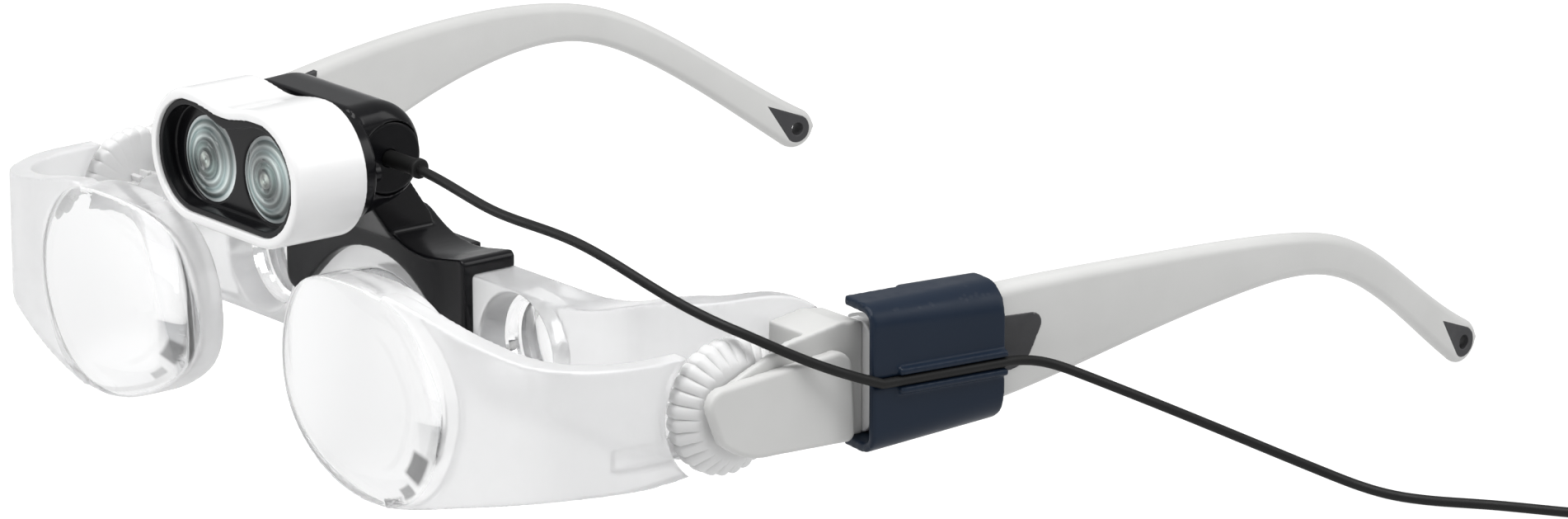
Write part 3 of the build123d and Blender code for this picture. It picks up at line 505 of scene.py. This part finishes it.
def lens_body(name, turns, radii, centre, apex_y, back_y):
    """A smooth plano-convex lens inside the rim."""
    shares = np.sin(np.linspace(0.0, math.pi / 2, 36))[1:]
    rings = [[(centre.x + s * r * math.cos(t), surface_y(s * r, apex_y), centre.z + s * r * math.sin(t))
              for t, r in zip(turns, radii)] for s in shares]
    rings += [[(centre.x + s * r * math.cos(t), back_y, centre.z + s * r * math.sin(t))
               for t, r in zip(turns, radii)] for s in shares[::-1]]
    return loft(name, rings)


def surface_y(distance, apex_y):
    """The convex face's Y at a distance from the optical axis."""
    return apex_y + SPHERE_RADIUS - math.sqrt(SPHERE_RADIUS**2 - distance**2)


def join(pieces, name):
    """One object that holds the meshes of all the pieces."""
    work = bmesh.new()
    for piece in pieces:
        work.from_mesh(piece.data)
    mesh = bpy.data.meshes.new(name)
    work.to_mesh(mesh)
    work.free()
    joined = bpy.data.objects.new(name, mesh)
    bpy.context.scene.collection.objects.link(joined)
    return joined


def lens_shell():
    node = "lens_shell_left"
    low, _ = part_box(node)
    centre = optical_centre()
    turns, radii = lens_rim(centre, RIM_STEPS)
    lens = lens_body("lens_body", turns, radii, centre, low.y, LENS_BACK_Y)
    piece = join([NODES[node], lens], "visor_shell_left")
    bpy.data.objects.remove(lens)
    soften(piece, LENS_SHELL_VOXEL, LENS_SHELL_ROUNDS)
    apply_modifiers(piece)
    finish_lens(piece, turns, radii, centre, low.y)
    return piece


def finish_lens(piece, turns, radii, centre, apex_y):
    """Puts the optical faces exactly on their curve and gives lens and wall their own finish."""
    mesh = piece.data
    back = LENS_BACK_Y
    count = len(mesh.vertices)
    points = np.empty(count * 3)
    mesh.vertices.foreach_get("co", points)
    points = points.reshape(-1, 3)
    dx, dz = points[:, 0] - centre.x, points[:, 2] - centre.z
    distance = np.hypot(dx, dz)
    rim = np.interp(np.arctan2(dz, dx), turns, radii, period=2 * math.pi)
    front = apex_y + SPHERE_RADIUS - np.sqrt(np.maximum(SPHERE_RADIUS**2 - distance**2, 0))
    inside = distance < rim - 0.9 * MM
    near_front = inside & (np.abs(points[:, 1] - front) < 0.3 * MM)
    near_back = inside & (np.abs(points[:, 1] - back) < 0.3 * MM)
    points[near_front, 1] = front[near_front]
    points[near_back, 1] = back
    mesh.vertices.foreach_set("co", points.reshape(-1))
    frosted = np.clip((distance - rim + 0.1 * MM) / (0.5 * MM), 0, 1)
    frosted[points[:, 1] > back + 0.6 * MM] = 1
    mask = mesh.attributes.new(FROST, "FLOAT", "POINT")
    mask.data.foreach_set("value", frosted)
    mesh.attributes.new(PAINTED_SHADE_MASK, "FLOAT", "POINT")
    mesh.materials.clear()
    mesh.materials.append(MATERIALS["shell_acrylic"])
    mesh.update()


def paint_rim_shade(piece, sign, patches):
    """Paints shade into the lens near its rim as dark patches and grey arcs, each (turn, share, spread,
    width, depth).
    """
    centre = optical_centre()
    turns, radii = lens_rim(centre, RIM_STEPS)
    mesh = piece.data
    points = np.empty(len(mesh.vertices) * 3)
    mesh.vertices.foreach_get("co", points)
    points = points.reshape(-1, 3)
    dx, dz = points[:, 0] * sign - centre.x, points[:, 2] - centre.z
    turn = np.arctan2(dz, dx)
    share = np.hypot(dx, dz) / np.interp(turn, turns, radii, period=2 * math.pi)
    value = np.zeros(len(points))
    for where, ring, spread, width, depth in patches:
        away = np.abs((turn - math.radians(where) + math.pi) % (2 * math.pi) - math.pi) / math.radians(spread)
        off = np.abs(share - ring) / width
        value = np.maximum(value, depth * np.clip(4 * (1 - away), 0, 1) * np.clip(3 * (1 - off), 0, 1))
    value[points[:, 1] > PAINTED_SHADE_BACK_Y + 0.0012 * np.hypot(dx, dz)] = 0
    mesh.attributes[PAINTED_SHADE_MASK].data.foreach_set("value", value)


# painted shade near each lens's rim: (turn, share, spread, width, depth)
LEFT_PAINTED_SHADE = ((-32, 0.88, 10, 0.09, 0.92), (-49, 0.93, 5, 0.06, 0.8), (-62, 0.965, 8, 0.035, 0.5),
                (-15, 0.95, 9, 0.04, 0.25), (-105, 0.97, 30, 0.025, 0.2), (30, 0.9, 35, 0.02, 0.08),
                (0, 0.7, 60, 0.03, 0.06))
RIGHT_PAINTED_SHADE = ((200, 0.86, 7, 0.09, 0.85), (217, 0.9, 6, 0.04, 0.6), (250, 0.96, 40, 0.03, 0.28),
                 (120, 0.9, 30, 0.02, 0.1), (180, 0.72, 60, 0.03, 0.06))


def build_lens_shells():
    left = lens_shell()
    right = mirrored(left, "visor_shell_right")
    paint_rim_shade(left, 1, LEFT_PAINTED_SHADE)
    paint_rim_shade(right, -1, RIGHT_PAINTED_SHADE)
    place(left, "lens_left", "clear_acrylic", "lens_shell_left")
    place(right, "lens_right", "clear_acrylic", "lens_shell_right")


# ---------------------------------------------------------------- focus wheels
WHEEL_LOBES = 28
WHEEL_GROOVE = 0.55
WHEEL_PLAIN_RADIUS = 6.6
WHEEL_FADE = 2.2
WHEEL_RIM_X = 74.1
WHEEL_PROFILE = (  # X and radius in millimetres
    (71.9, 1.55), (71.9, 5), (71.9, 8.9), (72.0, 9.35), (72.35, 9.7), (72.8, 9.8),
    (73.6, 9.8), (74.1, 9.78), (74.5, 9.5), (75.0, 9.0), (75.5, 8.45), (76.0, 7.9),
    (76.35, 7.4), (76.55, 6.9), (76.6, 6.3), (76.6, 1.55),
)
PINION_TEETH = 12
PINION_MEAN_RADIUS = 2.93
PINION_TOOTH = 0.43
PINION_PROFILE = ((69.6, 0.9), (69.6, 1), (71.95, 1), (71.95, 0.9))  # X, and a share of the radius


def wheel_ring(x, radius, centre, count=14 * WHEEL_LOBES):
    """One ring of the wheel: round lobes that fade out towards the hub."""
    depth = WHEEL_GROOVE * min(1, max(0, (radius - WHEEL_PLAIN_RADIUS) / WHEEL_FADE))
    ring = []
    for i in range(count):
        turn = 2 * math.pi * i / count
        groove = 1 - math.sqrt(abs(math.sin(WHEEL_LOBES * turn / 2)))
        reach = (radius - depth * groove) * MM
        lean = 0.45 * depth * groove * MM if x > WHEEL_RIM_X else 0
        ring.append((x * MM - lean, centre.y + reach * math.cos(turn), centre.z + reach * math.sin(turn)))
    return ring


def pinion_ring(x, share, centre, count=240):
    ring = []
    for i in range(count):
        turn = 2 * math.pi * i / count
        tooth = max(-1, min(1, 1.7 * math.cos(PINION_TEETH * (turn + math.pi / 2))))
        reach = (PINION_MEAN_RADIUS + PINION_TOOTH * tooth) * share * MM
        ring.append((x * MM, centre.y + reach * math.cos(turn), centre.z + reach * math.sin(turn)))
    return ring


def build_wheels():
    low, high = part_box("wheel_axle_left")
    centre = (low + high) / 2
    disc = loft("wheel_disc", [wheel_ring(x, r, centre) for x, r in WHEEL_PROFILE])
    pinion = loft("wheel_pinion", [pinion_ring(x, share, centre) for x, share in PINION_PROFILE])
    left = join([disc, pinion], "scalloped_wheel_left")
    for part in (disc, pinion):
        bpy.data.objects.remove(part)
    left.data.shade_smooth()
    sharpen(left, 50)
    right = mirrored(left, "scalloped_wheel_right")
    place(left, "wheel_left", "frosted_white", "focus_wheel_left")
    place(right, "wheel_right", "frosted_white", "focus_wheel_right")


# ---------------------------------------------------------------- temples
TEMPLE_ROUND = 1.5
HINGE_FREE_Y = 30.0 * MM  # behind this the temple's section holds nothing of the hinge
TIP_LENGTH = 6.0 * MM
TIP_SQUEEZE = 5.0 * MM
KNUCKLES = (("upper", 2.2, 5.25), ("lower", -8.35, -5.8))
EYE_RADIUS = 2.2
EYE_BORE = 1.2
EYE_CHAMFER = (0.15, 0.2)  # along the pin and across it
WEB_OUTLINE = ((1.5, -0.5), (6, -0.5), (6, 2.1), (1.0, 2.1))


def temple_stations(low_y, high_y):
    """Y values that crowd together towards the round tip."""
    even = np.linspace(low_y, high_y - TIP_LENGTH, 60)
    tip = high_y - TIP_LENGTH * (1 - np.sin(np.linspace(0, math.pi / 2, 16)[1:])) - 0.02 * MM
    return np.concatenate([even, tip])


def temple():
    """The temple's arm, with rounded edges and without its hinge eyes."""
    node = "temple_left"
    low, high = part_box(node)
    cut = slicer(node, 1)
    known = temple_stations(HINGE_FREE_Y, high.y)
    ranges = np.array([[*cut(y).min(0)[[0, 2]], *cut(y).max(0)[[0, 2]]] for y in known])
    front = np.linspace(low.y + 1.0 * MM, HINGE_FREE_Y - 0.6 * MM, 5)
    ahead = []
    for y in front:
        points = cut(y)
        outer = points[:, 0].max()
        thickness = ranges[0, 2] - ranges[0, 0] + (HINGE_FREE_Y - y) * 0.05
        ahead.append([outer - thickness, points[:, 2].min(), outer, points[:, 2].max()])
    stations = np.concatenate([front, known])
    ranges = np.vstack([np.array(ahead), ranges])
    rings = []
    for y, (x0, z0, x1, z1) in zip(stations, ranges):
        thickness, height = x1 - x0, z1 - z0
        if y > high.y - TIP_SQUEEZE:
            squeeze = math.sqrt(max(0.05, (high.y - y) / TIP_SQUEEZE))
            thickness *= 0.55 + 0.45 * squeeze
        section = rounded_rectangle(thickness, height, TEMPLE_ROUND * MM)
        rings.append([((x0 + x1) / 2 + x, y, (z0 + z1) / 2 + z) for x, z in section])
    first, second = np.array(rings[0]), np.array(rings[1])
    middle = first.mean(0)
    lead = middle + (first - middle) * 0.93 - (second - first).mean(0) * 0.55
    rings.insert(0, [tuple(p) for p in lead])
    return loft("temple_arm_left", rings)


def prism_between(name, outline, x0, x1):
    """A prism along X from (Y, Z) pairs."""
    return loft(name, [[(x, y, z) for y, z in outline] for x in (x0, x1)])


def convex_outline(node, grow):
    """The node's outline from the side, for a convex shape, grown by a margin."""
    points, _ = node_arrays(node)
    outline = []
    for i in range(48):
        turn = 2 * math.pi * i / 48
        direction = np.array([math.cos(turn), math.sin(turn)])
        reach = points[:, 1:] @ direction
        outline.append(points[np.argmax(reach), 1:] + direction * grow)
    return outline


def knuckles():
    """The two hinge eyes of the temple with their webs."""
    low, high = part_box("hinge_pin_left")
    centre = (low + high) / 2
    section = [(centre.x + x * MM, centre.y + y * MM) for x, y in WEB_OUTLINE]
    along, across = EYE_CHAMFER
    made = []
    for name, z0, z1 in KNUCKLES:
        tall = z1 - z0
        barrel = [(0, EYE_BORE), (0, EYE_RADIUS - across), (along, EYE_RADIUS), (tall - along, EYE_RADIUS),
                  (tall, EYE_RADIUS - across), (tall, EYE_BORE), (0, EYE_BORE)]
        profile = [(d * MM, r * MM) for d, r in barrel]
        eye = lathe(f"temple_eye_{name}", profile, (centre.x, centre.y, z0 * MM), (0, 0, 1), 40)
        web = loft(f"temple_web_{name}", [[(x, y, z * MM) for x, y in section] for z in (z0, z1)])
        made += [eye, web]
    return made


def build_temples():
    arm = temple()
    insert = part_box("tip_insert_left")
    hole = prism_between("hole", convex_outline("tip_insert_left", 0.02 * MM), insert[0].x - 5 * MM,
                         insert[1].x + 5 * MM)
    cut_away(arm, [hole])
    eyes = knuckles()
    piece = join([arm, *eyes], "temple_arm_left_full")
    for part in [arm, *eyes]:
        bpy.data.objects.remove(part)
    piece.name = "temple_arm_left"
    piece.data.shade_smooth()
    sharpen(piece, 40)
    right = mirrored(piece, "temple_arm_right")
    place(piece, "temple_left", "warm_grey", "temple_left")
    place(right, "temple_right", "warm_grey", "temple_right")


def sharpen(piece, degrees):
    """Keeps edges crisp where faces meet at more than the given angle."""
    work = bmesh.new()
    work.from_mesh(piece.data)
    for edge in work.edges:
        edge.smooth = len(edge.link_faces) == 2 and edge.calc_face_angle(0) < math.radians(degrees)
    work.to_mesh(piece.data)
    work.free()


# ---------------------------------------------------------------- cable
CABLE_RADIUS = 0.72
FRONT_STEPS = 110
REAR_STEPS = 150


def tube(name, line, radius, count=20):
    """A round tube along a line of points."""
    line = [Vector(p) for p in line]
    rings = []
    side = Vector((0, 0, 1))
    for i, point in enumerate(line):
        ahead = (line[min(i + 1, len(line) - 1)] - line[max(i - 1, 0)]).normalized()
        side = (side - ahead * side.dot(ahead)).normalized()
        other = ahead.cross(side)
        rings.append([point + (side * math.cos(a) + other * math.sin(a)) * radius
                      for a in (2 * math.pi * k / count for k in range(count))])
    return loft(name, rings)


def relaxed(line, joint, reach, rounds):
    """Evens out the bend where the cable's two runs meet, within some points of the joint."""
    points = np.array([tuple(p) for p in line])
    first, last = joint - reach, joint + 3
    for _ in range(rounds):
        middle = (points[first - 1:last - 1] + points[first + 1:last + 1]) / 2
        points[first:last] = points[first:last] * 0.5 + middle * 0.5
    return points


def build_cable():
    boot_low, boot_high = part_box("cable_boot")
    start = Vector((boot_high.x - 1 * MM, (boot_low.y + boot_high.y) / 2, (boot_low.z + boot_high.z) / 2))
    front = centre_line("cable_front", 0, FRONT_STEPS)
    rear = centre_line("cable_rear", 1, REAR_STEPS)
    line = relaxed([start, *front, *rear], joint=len(front), reach=14, rounds=60)
    piece = tube("lamp_cable", line, CABLE_RADIUS * MM)
    paint(piece, "cable_black")
    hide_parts("cable_front", "cable_rear")
    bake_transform(piece)
    return piece


# ---------------------------------------------------------------- CAD nodes that stay
MOULDED_NODES = {  # voxel in millimetres and rounds of smoothing
    "rear_frame": (0.32, 6),
    "nose_saddle": (0.25, 5),
    "wheel_housing_left": (0.25, 5), "wheel_housing_right": (0.25, 5),
    "housing_cap_left": (0.2, 5), "housing_cap_right": (0.2, 5),
    "hinge_collar_left": (0.15, 4), "hinge_collar_right": (0.15, 4),
    "temple_inlay_left": (0.14, 4), "temple_inlay_right": (0.14, 4),
    "temple_strip_left": (0.12, 4), "temple_strip_right": (0.12, 4),
    "tip_insert_left": (0.12, 3), "tip_insert_right": (0.12, 3),
    "lamp_shell": (0.2, 5), "lamp_bezel": (0.16, 3), "lamp_housing": (0.22, 6),
    "pivot_cap_left": (0.15, 3), "pivot_cap_right": (0.15, 3),
    "lamp_bracket": (0.25, 7), "cable_boot": (0.14, 4),
    "cable_clip": (0.22, 14), "cable_plug": (0.15, 4),
}
LOOKS = {"collimator_lenses": "collimator", "lamp_screws": "lamp_black"}  # looks that differ from the slot's


def finish_cad_nodes():
    for node, piece in NODES.items():
        paint(piece, LOOKS.get(node, SLOT_OF[node]))
        if node in MOULDED_NODES and not piece.hide_render:
            soften(piece, *MOULDED_NODES[node])


# ---------------------------------------------------------------- stage, light and camera
FLOOR_HALF = 3.0
FLOOR_GLOW_SEEN = 0.97
FLOOR_GLOW_ON_OBJECT = 0.62
WORLD_STRENGTH = 0.6


def floor():
    corners = [(sx * FLOOR_HALF, sy * FLOOR_HALF, 0) for sx, sy in ((-1, -1), (1, -1), (1, 1), (-1, 1))]
    piece = mesh_piece("floor", corners, [(0, 1, 2, 3)], smooth=False)
    piece.location.z = CAD_BOX[0].z - 0.02 * MM
    made, nodes, links = new_material("pale_floor")
    out = nodes.new("ShaderNodeOutputMaterial")
    lit = nodes.new("ShaderNodeBsdfDiffuse")
    lit.inputs["Color"].default_value = (0.2, 0.2, 0.2, 1)
    glow = nodes.new("ShaderNodeEmission")
    ray = nodes.new("ShaderNodeLightPath")
    level = nodes.new("ShaderNodeMapRange")
    level.inputs["To Min"].default_value = FLOOR_GLOW_ON_OBJECT
    level.inputs["To Max"].default_value = FLOOR_GLOW_SEEN
    through = combined(nodes, links, "MULTIPLY", ray.outputs["Is Transmission Ray"], 0.4)
    seen = combined(nodes, links, "MAXIMUM", ray.outputs["Is Camera Ray"], through)
    links.new(seen, level.inputs["Value"])
    links.new(level.outputs["Result"], glow.inputs["Strength"])
    both = nodes.new("ShaderNodeAddShader")
    links.new(lit.outputs["BSDF"], both.inputs[0])
    links.new(glow.outputs["Emission"], both.inputs[1])
    links.new(both.outputs["Shader"], out.inputs["Surface"])
    piece.data.materials.append(made)


def soft_light(name, place_mm, target_mm, size_mm, watts):
    lamp = bpy.data.lights.new(name, "AREA")
    lamp.shape = "RECTANGLE"
    lamp.size, lamp.size_y = size_mm[0] * MM, size_mm[1] * MM
    lamp.energy = watts
    piece = bpy.data.objects.new(name, lamp)
    bpy.context.scene.collection.objects.link(piece)
    piece.location = Vector(place_mm) * MM
    piece.rotation_euler = (Vector(target_mm) - Vector(place_mm)).to_track_quat("-Z", "Y").to_euler()


def world_light():
    world = bpy.data.worlds.new("studio")
    world.use_nodes = True
    bpy.context.scene.world = world
    nodes, links = world.node_tree.nodes, world.node_tree.links
    nodes.clear()
    out = nodes.new("ShaderNodeOutputWorld")
    back = nodes.new("ShaderNodeBackground")
    place_node = nodes.new("ShaderNodeTexCoord")
    split = nodes.new("ShaderNodeSeparateXYZ")
    ramp = nodes.new("ShaderNodeValToRGB")
    ramp.color_ramp.elements[0].position = 0.0
    ramp.color_ramp.elements[0].color = (0.62, 0.63, 0.64, 1)
    ramp.color_ramp.elements[1].position = 0.8
    ramp.color_ramp.elements[1].color = (1, 1, 1, 1)
    links.new(place_node.outputs["Generated"], split.inputs["Vector"])
    links.new(split.outputs["Z"], ramp.inputs["Fac"])
    links.new(ramp.outputs["Color"], back.inputs["Color"])
    ray = nodes.new("ShaderNodeLightPath")
    through = ray.outputs["Is Transmission Ray"]
    strength = combined(nodes, links, "MULTIPLY_ADD", through, 0.25, WORLD_STRENGTH)
    links.new(strength, back.inputs["Strength"])
    links.new(back.outputs["Background"], out.inputs["Surface"])


CAMERA_AZIMUTH = math.radians(51.136)
CAMERA_ELEVATION = math.radians(16.0)
CAMERA_DISTANCE = 1091.27
CAMERA_TARGET = Vector((0, 71.14, -9.93))
CAMERA_LENS = 163.48


def camera():
    data = bpy.data.cameras.new("camera")
    data.lens = CAMERA_LENS
    data.sensor_width = 36
    data.clip_start, data.clip_end = 0.01, 20
    piece = bpy.data.objects.new("camera", data)
    bpy.context.scene.collection.objects.link(piece)
    back = Vector((math.sin(CAMERA_AZIMUTH) * math.cos(CAMERA_ELEVATION),
                   -math.cos(CAMERA_AZIMUTH) * math.cos(CAMERA_ELEVATION), math.sin(CAMERA_ELEVATION)))
    piece.location = (CAMERA_TARGET + back * CAMERA_DISTANCE) * MM
    piece.rotation_euler = (-back).to_track_quat("-Z", "Y").to_euler()
    bpy.context.scene.camera = piece


build_lens_shells()
build_wheels()
build_temples()
build_cable()
finish_cad_nodes()
floor()
world_light()
soft_light("top_softbox", (150, -100, 620), (0, 20, 0), (500, 420), 3.2)
soft_light("key_softbox", (-350, -620, 420), (0, 20, 0), (420, 420), 2.4)
soft_light("rim_softbox", (500, 500, 380), (0, 40, 0), (300, 500), 1.2)
camera()
bpy.context.scene.view_settings.view_transform = "Standard"
bpy.context.scene.cycles.use_denoising = True
